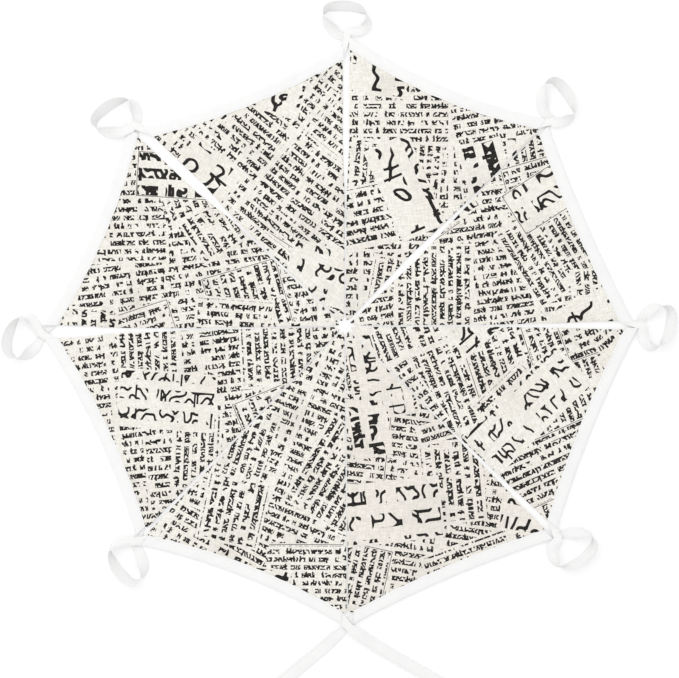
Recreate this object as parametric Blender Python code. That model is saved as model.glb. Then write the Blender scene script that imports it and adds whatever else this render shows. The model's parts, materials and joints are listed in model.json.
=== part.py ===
# Fabric pennant bunting laid out flat in a ring, flag points to the middle.
# Eight double cloth flags hang from one white tape that is folded over their top edges.
# Metres, +Z up, table surface at z = 0, ring centre at the origin.
import math

import bpy
import bmesh
from mathutils import Matrix, Vector

for old in list(bpy.data.objects):
    bpy.data.objects.remove(old)

# Flags
FLAG_COUNT = 8
FLAG_WIDTH = 0.170          # top edge, corner to corner
FLAG_DROP = 0.212           # tape's outer edge to the point
APEX_WIDTH = 0.0024         # turned point of the cloth
CLOTH_THICK = 0.0006        # one cloth layer
# Tape
TAPE_WIDTH = 0.010          # folded width
TAPE_THICK = 0.0004         # one leaf of the fold
# Clearances
LAYER_GAP = 0.0003          # between layers that lie on each other
END_GAP = 0.0005            # between a bound edge's end and the free tape that goes on from it
FOLD_CLEAR = 0.002          # from the tape's inner edge to the flag's bend line
CORNER_GAP = 0.0090         # between two neighbouring flags at their corners
APEX_CLEAR = 0.005          # from the ring's centre to each point
# How the ring was laid out
FIRST_AZIMUTH = 292.5       # degrees, middle of flag 1
# Each flag as it lies, against its even place: turn in degrees, mm outwards, mm counterclockwise,
# mm of inward bow of its tape, mm by which it is narrower
LAY = (
    (0.5, 5, 2, 4, 0),
    (0.5, 1, 2, 4, 0),
    (1.0, -4, 0, 3, 2),
    (-0.5, -2, 0, 8, 2),
    (-0.5, -9, 2, 6, 0),
    (-0.5, 5, 5, 7, 0),
    (2.5, 5, 4, 6, 0),
    (1.0, 6, 2, 7, 0),
)
BOW_STEPS = 12              # straight pieces along a bowed edge
# Rolled-up tie ends
ROLL_RADIUS = 0.024         # outer turn, to the tape's middle
ROLL_PITCH = 0.005          # from turn to turn
ROLL_TURNS = 2.25
ROLL_LEAD = 0.010           # straight lead-in
ROLL_POINTS = 24            # points in a turn
CURVE_STEPS = 3             # points between two route points of a free tape
EDGE_EASE = 4               # points in which a slanted start turns square to the tape

# Free tape loops as they lie at the corners, in mm outwards and sideways from the point between two
# flags. A loop leaves the flag before the corner, goes round, and comes back to the flag after it.
LOOPS = (
    ((0.7, -0.6), (3.7, 2.0), (8, 8.5), (14, 15), (22, 19.5), (28.5, 15), (30.5, 5),
     (28, -7), (22, -15.5), (13, -14.5), (6.5, -9.5), (4.5, -1), (0.7, 0.6)),
    ((0.7, -0.6), (3.7, 2.0), (7, 7.5), (13, 12.5), (20.5, 15.5), (27.5, 12.5), (28.5, 3),
     (25, -9), (19, -16.5), (11, -16.5), (6, -10), (5.5, -0.5), (0.7, 0.6)),
    ((0.7, -0.6), (5, 1.5), (5.5, 9.5), (11, 17.5), (20, 23.5), (27.5, 20.5), (29, 11),
     (26.5, 0), (21, -10), (13, -9.5), (6, -5.5), (3.5, -1.8), (0.7, 0.6)),
    ((0.7, -0.6), (3.7, 2.0), (7, 8), (12, 13.5), (19.5, 18.5), (26.5, 15.5), (28.5, 4),
     (27, -8), (21.5, -16), (13, -16), (8.5, -10), (8, -2), (0.7, 0.6)),
    ((0.7, -0.6), (3, 4), (7, 12.5), (14, 19), (20.5, 22.5), (27.5, 19.5), (28.5, 8.5),
     (25.5, -3), (19.5, -11.5), (12, -11), (5.5, -7), (2.5, -2.5), (0.7, 0.6)),
    ((0.7, -0.6), (3.5, 5), (8, 12), (14, 17), (21, 20.5), (28.5, 17), (30.5, 8),
     (27, -3), (20, -12), (12, -11.5), (7, -5), (3.5, 0), (0, 3)),
    ((0.7, -0.6), (5, 1.5), (7.5, 8.5), (12, 17.5), (20, 23), (27.5, 20.5), (29, 10),
     (27, -1), (21.5, -10.5), (13, -10), (6.5, -6), (3.5, -1.8), (0.7, 0.6)),
)
# At those points: clear height under the tape in mm, roll of the tape about its length in degrees
# (0 flat, 90 on edge), width in mm. Most loops come back over their own start.
BACK_OVER = (
    (0.15, 0, 6.5), (0.1, 0, 6.8), (0.3, 5, 8.5), (0.4, 38, 10), (0.8, 85, 10), (0.8, 120, 10),
    (0.7, 140, 10), (0.6, 130, 10), (1.0, 90, 10), (1.5, 35, 9.5), (2.4, 8, 8),
    (2.3, 0, 6.8), (1.9, 0, 6.5),
)
BACK_UNDER = (
    (2.6, 0, 7), (3.4, 0, 8), (3.4, 5, 9), (3.1, 38, 10), (0.8, 85, 10), (0.8, 120, 10),
    (0.7, 140, 10), (0.6, 130, 10), (0.8, 90, 10), (0.6, 35, 9.5), (0.2, 8, 8),
    (0.1, 0, 6.8), (0.15, 0, 6.5),
)
BACK_UNDER_LOOP = 4         # the one loop whose start lies over the flag after the corner
# Tie ends, in mm and degrees: outwards, sideways, clear height, roll, width. The last flag's tape lies
# over the first flag's, and both run out below the ring.
TAIL_END_ROUTE = (
    (0.7, -0.6, 1.9, 0, 6.5),
    (3.7, 2.2, 2.3, 0, 7),
    (9.0, 9.0, 2.0, 0, 9),
    (22.0, 29.0, 0.6, 0, 10),
    (46.0, 70.0, 0.3, 0, 10),
    (53.0, 81.6, 0.3, 15, 10),
    (59.0, 91.4, 0.3, 52, 10),
    (65.0, 101.2, 0.5, 90, 10),
)
TAIL_START_ROUTE = (
    (0.7, 0.6, 0.15, 0, 6.5),
    (3.7, -2.0, 0.1, 0, 6.8),
    (10.0, -9.2, 0.2, 0, 9),
    (22.0, -23.0, 0.2, 0, 10),
    (46.0, -53.0, 0.2, 0, 10),
    (53.0, -61.2, 0.3, 15, 10),
    (59.5, -68.8, 0.3, 52, 10),
    (66.0, -76.4, 0.5, 90, 10),
)
ROUTE_WIDTH = 10.0          # mm, full width that the routes' widths are shares of
START_DROP = 0.0003         # how far under tapes leave below mid height, over tapes above
TABLE_CLEAR = 0.00005       # least height of a free tape over the table

CLOTH_COLOUR = (0.80, 0.76, 0.66, 1)
TAPE_COLOUR = (0.90, 0.90, 0.89, 1)

# Heights of the layers in a bound edge
FLAG_THICK = 2 * CLOTH_THICK + LAYER_GAP
BOUND_THICK = FLAG_THICK + 2 * (TAPE_THICK + LAYER_GAP)
FLAG_BASE = TAPE_THICK + LAYER_GAP
FLAG_TOP = FLAG_BASE + FLAG_THICK
FLAG_MID = FLAG_BASE + FLAG_THICK / 2
FREE_THICK = 2 * TAPE_THICK
# Plan of a flag: x along the tape, y from the tape's outer chord to the point
SECTOR = 2 * math.pi / FLAG_COUNT
SIDE_SLOPE = (FLAG_WIDTH - APEX_WIDTH) / 2 / FLAG_DROP
HALF_CHORD = FLAG_WIDTH / 2 + CORNER_GAP / 2 / math.cos(SECTOR / 2)
APOTHEM = max(FLAG_DROP + APEX_CLEAR, HALF_CHORD / math.tan(SECTOR / 2))
UP = Vector((0, 0, 1))


def material(name, colour, roughness):
    """Plain cloth material."""
    made = bpy.data.materials.new(name)
    made.use_nodes = True
    shader = made.node_tree.nodes["Principled BSDF"]
    shader.inputs["Base Color"].default_value = colour
    shader.inputs["Roughness"].default_value = roughness
    shader.inputs["Metallic"].default_value = 0
    return made


def lay(index):
    """How a flag lies: turn in radians, then outwards, sideways, bow and narrowing in metres."""
    turn, *lengths = LAY[index % len(LAY)]
    return (math.radians(turn), *(length / 1000 for length in lengths))


def flag_frame(index):
    """Flag's own frame: x counterclockwise along the tape, y to the ring's centre."""
    turn, out, aside = lay(index)[:3]
    even = math.radians(FIRST_AZIMUTH) + index * SECTOR
    outward = Vector((math.cos(even), math.sin(even), 0))
    place = outward * (APOTHEM + out) + UP.cross(outward) * aside
    return Matrix.Translation(place) @ Matrix.Rotation(even + turn + math.pi / 2, 4, "Z")


def tip(index):
    """Flag's point in its own frame: how far it leans to the ring's centre, and how far down it lies."""
    centre = flag_frame(index).inverted() @ Vector((0, 0, 0))
    return centre.x, FLAG_DROP + centre.y - APOTHEM


def across(index, share, y):
    """Sideways place on a flag at distance y from its tape's outer chord, share from -1 to 1."""
    lean, drop = tip(index)
    top = (FLAG_WIDTH - lay(index)[4]) / 2
    return lean * y / drop + share * (top + (APEX_WIDTH / 2 - top) * y / drop)


def bow(index, share):
    """Inward bow of a top edge, share running from -1 to 1 along it."""
    return lay(index)[3] * (1 - share * share)


def tape_end(index, side):
    """Outer and inner corner of a bound edge's end; side is 1 counterclockwise, -1 clockwise."""
    frame = flag_frame(index)
    return [frame @ Vector((across(index, side, y), y, 0)) for y in (0, TAPE_WIDTH)]


def corner(before, after):
    """Point between two neighbouring flags' outer corners."""
    return (tape_end(before, 1)[0] + tape_end(after, -1)[0]) / 2


def sheet(name, rows, thick, place, parent, skin):
    """Closed sheet through rows of points, with its thickness either side of them."""
    body = bmesh.new()
    inverse = place.inverted()
    grid = [[body.verts.new(inverse @ point) for point in row] for row in rows]
    for low, high in zip(grid, grid[1:]):
        for step in range(len(low) - 1):
            body.faces.new((low[step], low[step + 1], high[step + 1], high[step]))
    mesh = bpy.data.meshes.new(name)
    body.to_mesh(mesh)
    body.free()
    piece = bpy.data.objects.new(name, mesh)
    bpy.context.scene.collection.objects.link(piece)
    mesh.materials.append(skin)
    skin_depth = piece.modifiers.new("thickness", "SOLIDIFY")
    skin_depth.thickness = thick
    skin_depth.offset = 0
    skin_depth.use_even_offset = True
    hold(piece, place, parent)
    return piece


def hold(piece, place, parent):
    """Place a piece in the world and hang it on its parent."""
    if parent:
        piece.parent = parent[0]
        piece.matrix_parent_inverse = parent[1].inverted()
    piece.matrix_basis = place


def pivot(name, place, parent):
    """Empty on a joint's axis, given back with where it stands."""
    empty = bpy.data.objects.new(name, None)
    empty.empty_display_size = 0.02
    bpy.context.scene.collection.objects.link(empty)
    hold(empty, place, parent)
    return empty, place


def smooth(points, steps):
    """Points along a smooth curve through the given tuples."""
    ends = [points[0]] + list(points) + [points[-1]]
    line = []
    for at in range(1, len(ends) - 2):
        before, here, there, after = ends[at - 1:at + 3]
        for step in range(steps):
            t = step / steps
            line.append(tuple(
                0.5 * (2 * b + (c - a) * t + (2 * a - 5 * b + 4 * c - d) * t * t
                       + (3 * b - a - 3 * c + d) * t ** 3)
                for a, b, c, d in zip(before, here, there, after)))
    line.append(tuple(points[-1]))
    return line


def route_points(origin, outward, route):
    """Route in the world: place with its clear height, roll in radians and width of every point."""
    aside = UP.cross(outward)
    return [(*(origin + (outward * u + aside * v + UP * z) * 0.001), math.radians(roll),
             TAPE_WIDTH * width / ROUTE_WIDTH) for u, v, z, roll, width in route]


def raised(line):
    """Line with every clear height turned into the height of the tape's middle."""
    done = []
    for x, y, clear, roll, width in line:
        half = width / 2 * abs(math.sin(roll)) + FREE_THICK / 2 * abs(math.cos(roll))
        done.append((x, y, max(clear, TABLE_CLEAR) + half, roll, width))
    return done


def tape_rows(line, first_edge=None, last_edge=None):
    """Two edges and a middle row of a tape that follows the line's places, rolls and widths."""
    places = [Vector(point[:3]) for point in line]
    rows = []
    for at, (place, point) in enumerate(zip(places, line)):
        ahead = places[min(at + 1, len(places) - 1)] - places[max(at - 1, 0)]
        right = ahead.cross(UP).normalized()
        top = right.cross(ahead).normalized()
        across = (right * math.cos(point[3]) + top * math.sin(point[3])) * point[4]
        for edge, away in ((first_edge, at), (last_edge, len(line) - 1 - at)):
            if edge is not None and away < EDGE_EASE:
                slant = edge if edge.dot(across) > 0 else -edge
                across = slant.lerp(across, away / EDGE_EASE)
        rows.append([place - across / 2, place, place + across / 2])
    return rows


def leave(index, side, height):
    """Where a free tape starts at a bound edge's end, with its clear height, and its slanted edge."""
    outer, inner = tape_end(index, side)
    away = flag_frame(index).to_3x3() @ Vector((side, 0, 0))
    place = (outer + inner) / 2 + away * END_GAP / math.cos(math.atan(SIDE_SLOPE))
    place += UP * (height - FREE_THICK / 2)
    return (*place, 0.0, TAPE_WIDTH), outer - inner


def roll_line(start, heading, turn):
    """Straight lead-in and a spiral of a tape that stands on its edge; turn is 1 or -1."""
    aside = UP.cross(heading) * turn
    middle = start + heading * ROLL_LEAD + aside * ROLL_RADIUS
    line = [start, start + heading * ROLL_LEAD / 2]
    count = round(ROLL_TURNS * ROLL_POINTS)
    for step in range(count + 1):
        angle = 2 * math.pi * step / ROLL_POINTS
        reach = ROLL_RADIUS - ROLL_PITCH * step / ROLL_POINTS
        line.append(middle + (heading * math.sin(angle) - aside * math.cos(angle)) * reach)
    return [(*place, math.pi / 2, TAPE_WIDTH) for place in line]


def least_gap(line):
    """Least gap between two turns of a roll, measured between its points."""
    places = [Vector(point[:3]) for point in line]
    apart = ROLL_POINTS // 2
    nearest = min((a - b).length for at, a in enumerate(places) for b in places[at + apart:])
    return nearest - FREE_THICK


def show(label, point, direction):
    """Print a joint's place and axis."""
    numbers = ", ".join(f"{value:.6f}" for value in (*point, *direction))
    print("axis", label, numbers)


cloth = material("cloth", CLOTH_COLOUR, 0.9)
tape = material("tape", TAPE_COLOUR, 0.8)

# The tape's bound stretches form the chain; the middle one is the fixed end of it.
root = (FLAG_COUNT - 1) // 2
holders = [None] * FLAG_COUNT
holders[root] = pivot("tape_pivot_%d" % (root + 1), flag_frame(root), None)
for index in list(range(root - 1, -1, -1)) + list(range(root + 1, FLAG_COUNT)):
    inner_one = index + 1 if index < root else index - 1
    point = corner(min(index, inner_one), max(index, inner_one))
    place = Matrix.Translation(point) @ flag_frame(index).to_3x3().to_4x4()
    holders[index] = pivot("tape_pivot_%d" % (index + 1), place, holders[inner_one])
    show("tape_%d" % (index + 1), point, (0, 0, 1 if index < root else -1))

for index in range(FLAG_COUNT):
    number = index + 1
    frame = flag_frame(index)
    shares = [2 * step / BOW_STEPS - 1 for step in range(BOW_STEPS + 1)]
    fold_line = bow(index, 0) + TAPE_WIDTH + FOLD_CLEAR

    # Tape folded over the top edge: two leaves and the fold along the outer edge
    fold_in = TAPE_THICK / 2
    leaves = ((TAPE_WIDTH, BOUND_THICK - fold_in), (fold_in, BOUND_THICK - fold_in),
              (fold_in, fold_in), (TAPE_WIDTH, fold_in))
    rows = [[frame @ Vector((across(index, share, y), bow(index, share) + y, z)) for share in shares]
            for y, z in leaves]
    sheet("tape_binding_%d" % number, rows, TAPE_THICK, frame, holders[index], tape)

    # Both cloth layers where they lie between the leaves, down to the bend line
    top = [frame @ Vector((across(index, share, FLAG_BASE), bow(index, share) + FLAG_BASE, FLAG_MID))
           for share in shares]
    bend = [frame @ Vector((across(index, share, fold_line), fold_line, FLAG_MID)) for share in shares]
    rows = [top, bend]
    sheet("flag_heading_%d" % number, rows, FLAG_THICK, frame, holders[index], cloth)

    # Free cloth below the bend line, front layer over back layer
    hinge = frame @ Matrix.Translation((0, fold_line + LAYER_GAP / 2, FLAG_TOP))
    show("flag_%d" % number, hinge.translation, hinge.to_3x3() @ Vector((1, 0, 0)))
    free = fold_line + LAYER_GAP
    for side, height in (("front", FLAG_TOP - CLOTH_THICK / 2), ("back", FLAG_BASE + CLOTH_THICK / 2)):
        rows = [[frame @ Vector((across(index, sign, y), y, height)) for sign in (-1, 1)]
                for y in (free, tip(index)[1])]
        sheet("flag_%s_%d" % (side, number), rows, CLOTH_THICK, hinge, holders[index], cloth)

# Free loops of tape between the flags
for index in range(FLAG_COUNT - 1):
    point = corner(index, index + 1)
    outward = point.normalized()
    under = index == BACK_UNDER_LOOP
    lies = BACK_UNDER if under else BACK_OVER
    route = [(*place, *how) for place, how in zip(LOOPS[index % len(LOOPS)], lies)]
    drop = -START_DROP if under else START_DROP
    first, first_edge = leave(index, 1, BOUND_THICK / 2 - drop)
    last, last_edge = leave(index + 1, -1, BOUND_THICK / 2 + drop)
    line = raised(smooth([first] + route_points(point, outward, route) + [last], CURVE_STEPS))
    keeper = holders[index if index >= root else index + 1]
    sheet("tape_loop_%d" % (index + 1), tape_rows(line, first_edge, last_edge), FREE_THICK,
          Matrix.Translation(point), keeper, tape)

# Tie ends: a free stretch and the rest of its length rolled up
point = corner(FLAG_COUNT - 1, 0)
outward = point.normalized()
for name, index, side, route, drop, turn in (
        ("start", 0, -1, TAIL_START_ROUTE, -START_DROP, 1),
        ("end", FLAG_COUNT - 1, 1, TAIL_END_ROUTE, START_DROP, -1)):
    first, first_edge = leave(index, side, BOUND_THICK / 2 + drop)
    line = raised(smooth([first] + route_points(point, outward, route), CURVE_STEPS))
    sheet("tape_tail_" + name, tape_rows(line, first_edge, UP * TAPE_WIDTH), FREE_THICK,
          Matrix.Translation(point), holders[index], tape)
    last = Vector(line[-1][:3])
    heading = last - Vector(line[-2][:3])
    heading.z = 0
    heading.normalize()
    spiral = roll_line(last + heading * END_GAP, heading, turn)
    sheet("tape_roll_" + name, tape_rows(spiral), FREE_THICK,
          Matrix.Translation(point), holders[index], tape)
    print("least gap between turns of roll %s: %.2f mm" % (name, least_gap(spiral) * 1000))
    show("tail_" + name, last, heading)
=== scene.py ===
import json
import math

import bpy
import numpy as np
from mathutils import Matrix, Vector


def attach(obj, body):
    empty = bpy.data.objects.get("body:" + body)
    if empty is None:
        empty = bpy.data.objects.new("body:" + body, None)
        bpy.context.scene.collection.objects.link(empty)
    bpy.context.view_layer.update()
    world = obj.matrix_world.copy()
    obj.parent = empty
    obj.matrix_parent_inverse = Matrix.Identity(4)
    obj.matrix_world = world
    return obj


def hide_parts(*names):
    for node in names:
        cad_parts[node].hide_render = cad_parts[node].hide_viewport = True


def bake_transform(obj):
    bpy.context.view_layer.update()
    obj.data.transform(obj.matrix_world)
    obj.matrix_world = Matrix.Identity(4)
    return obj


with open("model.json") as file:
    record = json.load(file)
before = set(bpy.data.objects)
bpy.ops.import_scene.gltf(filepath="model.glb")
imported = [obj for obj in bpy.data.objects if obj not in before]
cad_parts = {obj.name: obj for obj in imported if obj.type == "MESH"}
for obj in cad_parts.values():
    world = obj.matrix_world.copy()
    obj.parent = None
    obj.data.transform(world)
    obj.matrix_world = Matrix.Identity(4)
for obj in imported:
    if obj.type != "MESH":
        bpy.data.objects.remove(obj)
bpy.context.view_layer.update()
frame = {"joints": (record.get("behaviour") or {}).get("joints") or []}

up = Vector((0, 0, 1))
joints = {joint["name"]: joint for joint in frame["joints"]}
flagNumbers = range(1, 9)

# the string as it was laid out, metres where not marked
layout = {
    "bend": 0.01215,          # tape's outer edge to the flag's bend line, in the middle of the flag
    "flagTop": 0.0022,        # height of the bend line
    "flagWidth": 0.170,
    "pointClear": 0.005,      # middle of the ring to each point
    "pointWidth": 0.0024,
    "tapeWidth": 0.010,
    "bow": (4, 4, 3, 8, 6, 7, 6, 7),        # mm, inward bow of each flag's tape
    "narrower": (0, 0, 2, 2, 0, 0, 0, 0),   # mm, how much less wide each flag is
    "boundThick": 0.0029,
    "freeThick": 0.0008,
    "endGap": 0.0005,
    "startDrop": 0.0003,      # under tapes start this far below mid height, over tapes above
    "tableClear": 0.00005,
}


def deselectAll():
    if bpy.context.mode != "OBJECT":
        bpy.ops.object.mode_set(mode="OBJECT")
    bpy.ops.object.select_all(action="DESELECT")


def startPiece(name):  # the primitive that was just added becomes a named piece
    piece = bpy.context.object
    piece.name = name
    piece.data.name = name
    return piece


def meshPiece(name, points, faces):
    mesh = bpy.data.meshes.new(name)
    mesh.from_pydata([tuple(point) for point in points], [], faces)
    mesh.validate()
    piece = bpy.data.objects.new(name, mesh)
    bpy.context.scene.collection.objects.link(piece)
    return piece


def pointArray(piece):
    places = np.zeros(len(piece.data.vertices) * 3)
    piece.data.vertices.foreach_get("co", places)
    return places.reshape(-1, 3)


def setPoints(piece, places):
    piece.data.vertices.foreach_set("co", np.asarray(places, np.float32).ravel())
    piece.data.update()


def setUv(piece, name, pairs):  # one pair for each vertex
    layer = piece.data.uv_layers.new(name=name)
    corners = np.zeros(len(piece.data.loops), np.int32)
    piece.data.loops.foreach_get("vertex_index", corners)
    layer.data.foreach_set("uv", np.asarray(pairs, np.float32)[corners].ravel())


def applyModifiers(piece):
    deselectAll()
    piece.select_set(True)
    bpy.context.view_layer.objects.active = piece
    for modifier in list(piece.modifiers):
        bpy.ops.object.modifier_apply(modifier=modifier.name)


def smoothShade(piece, angle=40):
    deselectAll()
    piece.select_set(True)
    bpy.context.view_layer.objects.active = piece
    bpy.ops.object.shade_smooth_by_angle(angle=math.radians(angle))


def bendLine(number):  # tape's outer chord to the bend line
    return layout["bow"][number - 1] * 0.001 + layout["bend"]


def flagFrame(number):  # x along the tape, y to the middle of the ring, z up, on the table
    joint = joints["flag_lift_%d" % number]
    along = Vector(joint["axis"]).normalized()
    inward = up.cross(along)
    place = Vector(joint["pos_m"]) - inward * bendLine(number)
    place.z = 0
    turn = Matrix((along, inward, up)).transposed().to_4x4()
    return Matrix.Translation(place) @ turn


def flagTip(number):  # how far the point leans sideways, and how far down it lies
    centre = flagFrame(number).inverted() @ Vector((0, 0, 0))
    return centre.x, centre.y - layout["pointClear"]


def across(number, share, y):  # sideways place on a flag, share from -1 to 1
    lean, drop = flagTip(number)
    top = (layout["flagWidth"] - layout["narrower"][number - 1] * 0.001) / 2
    return lean * y / drop + share * (top + (layout["pointWidth"] / 2 - top) * y / drop)


def bow(number, share):
    return layout["bow"][number - 1] * 0.001 * (1 - share * share)


# node helpers

def feed(tree, socket, value):
    if isinstance(value, bpy.types.NodeSocket):
        tree.links.new(value, socket)
    else:
        socket.default_value = value


def mathNode(tree, operation, first, second=0.0):
    node = tree.nodes.new("ShaderNodeMath")
    node.operation = operation
    feed(tree, node.inputs[0], first)
    feed(tree, node.inputs[1], second)
    return node.outputs[0]


def times(tree, first, second):
    return mathNode(tree, "MULTIPLY", first, second)


def minus(tree, first, second):
    return mathNode(tree, "SUBTRACT", first, second)


def less(tree, first, second):
    return mathNode(tree, "LESS_THAN", first, second)


def more(tree, first, second):
    return mathNode(tree, "GREATER_THAN", first, second)


def size(tree, value):
    return mathNode(tree, "ABSOLUTE", value)


def vectorNode(tree, operation, first, second=None, scale=None):
    node = tree.nodes.new("ShaderNodeVectorMath")
    node.operation = operation
    feed(tree, node.inputs[0], first)
    if second is not None:
        feed(tree, node.inputs[1], second)
    if scale is not None:
        feed(tree, node.inputs["Scale"], scale)
    return node.outputs["Value" if operation == "LENGTH" else "Vector"]


def splitNode(tree, vector):
    node = tree.nodes.new("ShaderNodeSeparateXYZ")
    feed(tree, node.inputs[0], vector)
    return node.outputs[0], node.outputs[1], node.outputs[2]


def joinNode(tree, x, y, z=0.0):
    node = tree.nodes.new("ShaderNodeCombineXYZ")
    for socket, value in zip(node.inputs, (x, y, z)):
        feed(tree, socket, value)
    return node.outputs[0]


def chanceNode(tree, vector):  # three random numbers for each whole-number place
    node = tree.nodes.new("ShaderNodeTexWhiteNoise")
    node.noise_dimensions = "2D"
    feed(tree, node.inputs["Vector"], vector)
    return splitNode(tree, node.outputs["Color"])


def noiseNode(tree, vector, scale, detail=2.0, rough=0.5):
    node = tree.nodes.new("ShaderNodeTexNoise")
    feed(tree, node.inputs["Vector"], vector)
    node.inputs["Scale"].default_value = scale
    node.inputs["Detail"].default_value = detail
    node.inputs["Roughness"].default_value = rough
    return node.outputs[0]


def mixColour(tree, factor, first, second):
    node = tree.nodes.new("ShaderNodeMix")
    node.data_type = "RGBA"
    feed(tree, node.inputs[0], factor)
    feed(tree, node.inputs[6], first)
    feed(tree, node.inputs[7], second)
    return node.outputs[2]


def mixNumber(tree, factor, first, second):
    node = tree.nodes.new("ShaderNodeMix")
    node.data_type = "FLOAT"
    feed(tree, node.inputs[0], factor)
    feed(tree, node.inputs[2], first)
    feed(tree, node.inputs[3], second)
    return node.outputs[0]


def mixVector(tree, factor, first, second):
    node = tree.nodes.new("ShaderNodeMix")
    node.data_type = "VECTOR"
    feed(tree, node.inputs[0], factor)
    feed(tree, node.inputs[4], first)
    feed(tree, node.inputs[5], second)
    return node.outputs[1]


def rampNode(tree, value, low, high, toLow=0.0, toHigh=1.0):
    node = tree.nodes.new("ShaderNodeMapRange")
    for socket, number in zip(node.inputs, (value, low, high, toLow, toHigh)):
        feed(tree, socket, number)
    return node.outputs[0]


def between(tree, value, low, high):
    return times(tree, more(tree, value, low), less(tree, value, high))


def startMaterial(name, roughness):
    material = bpy.data.materials.new(name)
    material.use_nodes = True
    shader = material.node_tree.nodes["Principled BSDF"]
    shader.inputs["Roughness"].default_value = roughness
    shader.inputs["Specular IOR Level"].default_value = 0.2
    return material, material.node_tree, shader


def addBump(tree, shader, height, depth, strength):
    node = tree.nodes.new("ShaderNodeBump")
    node.inputs["Strength"].default_value = strength
    node.inputs["Distance"].default_value = depth
    feed(tree, node.inputs["Height"], height)
    feed(tree, shader.inputs["Normal"], node.outputs[0])


def weaveHeight(tree, place, pitch):  # over-and-under threads, 0 to 1
    x, y, _ = splitNode(tree, vectorNode(tree, "SCALE", place, scale=math.pi / pitch))
    return times(tree, size(tree, mathNode(tree, "SINE", x)), size(tree, mathNode(tree, "SINE", y)))


printSettings = {
    "cloth": (0.985, 0.962, 0.895, 1),
    "warmCloth": (0.92, 0.85, 0.78, 1),
    "warmSpot": (0.378, 0.346, 0),   # the flag that has yellowed most
    "greyCloth": (0.62, 0.595, 0.535, 1),
    "ink": (0.006, 0.0055, 0.005, 1),
    "spotFade": (0.09, 0.17, 0.6),   # full out to, gone at, strength
    "warmCloud": (16.0, 0.46, 0.68, 0.55),   # scale, from, to, strength
    "greyCloud": (24.0, 0.52, 0.75, 0.35),
    "slub": (150, 800),
    # slub range that darkens the cloth towards grey, and how far: partly the cloth's own slub tone,
    # partly painted shade of the crinkles
    "slubToneAndCrinkleShade": (0.82, 1.22, 0.52),
    "worn": (0.75, 1.25, 0.96),
    "slubBump": 0.7,
    "weave": 0.0006,
    "bump": (0.0002, 0.5),           # depth, strength
    "specular": 0.15,
    "sheen": 0.06,
    "groundTurn": 0.14,
    "groundPitch": 0.0066,
    "groundStroke": 0.28,
    "columnWidth": 0.072,
    "columnShown": (0.03, 0.97),
    "markWide": 0.42,                # of the row pitch
    "markRoom": (0.08, 0.84),        # where a mark starts in its room, and its share of it
    "rowBand": (0.20, 0.52),         # where a mark's foot is in its row, and its height
    "rowJump": 37.0,
    "rowSpread": 7.31,
    "blankShare": 0.20,              # of the marks, left out between groups
    "tallFrom": 0.62,                # chance above which a stem reaches up
    "tallReach": 0.4,
    "footBelow": 0.14,               # chance below which a stem reaches down
    "footReach": -0.34,
    "stemPlace": 0.42,
    "stemShare": 0.3,
    "squiggle": 0.82,                # width of a squiggle, of the stroke
    "squiggleBand": (-0.06, 1.06),
    "curl": (1.06, 0.98),
    "slopeStep": 0.06,
    "slopeFloor": 0.12,
    "blockShift": 0.1,
    "blockLean": 0.35,
    "blockSpread": 3.7,
    "frameLine": (0.0008, 0.0013),
    "blocks": (
        {"cell": 0.098, "seed": 3.0, "wide": (0.060, 0.092), "tall": (0.050, 0.078), "share": 0.95,
         "pitch": (0.0062, 0.0071), "stroke": 0.28, "rim": 0.0020, "framed": 0.3},
        {"cell": 0.118, "seed": 11.0, "wide": (0.048, 0.072), "tall": (0.034, 0.056), "share": 0.75,
         "pitch": (0.0063, 0.0076), "stroke": 0.29, "rim": 0.0020, "framed": 0.4},
        {"cell": 0.124, "seed": 23.0, "wide": (0.066, 0.108), "tall": (0.034, 0.052), "share": 0.85,
         "pitch": (0.0160, 0.0230), "stroke": 0.13, "rim": 0.0016, "framed": 0.12},
        {"cell": 0.190, "seed": 37.0, "wide": (0.044, 0.068), "tall": (0.028, 0.042), "share": 0.75,
         "pitch": (0.0135, 0.0170), "stroke": 0.27, "rim": 0.0016, "framed": 0.3},
    ),
}


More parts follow.
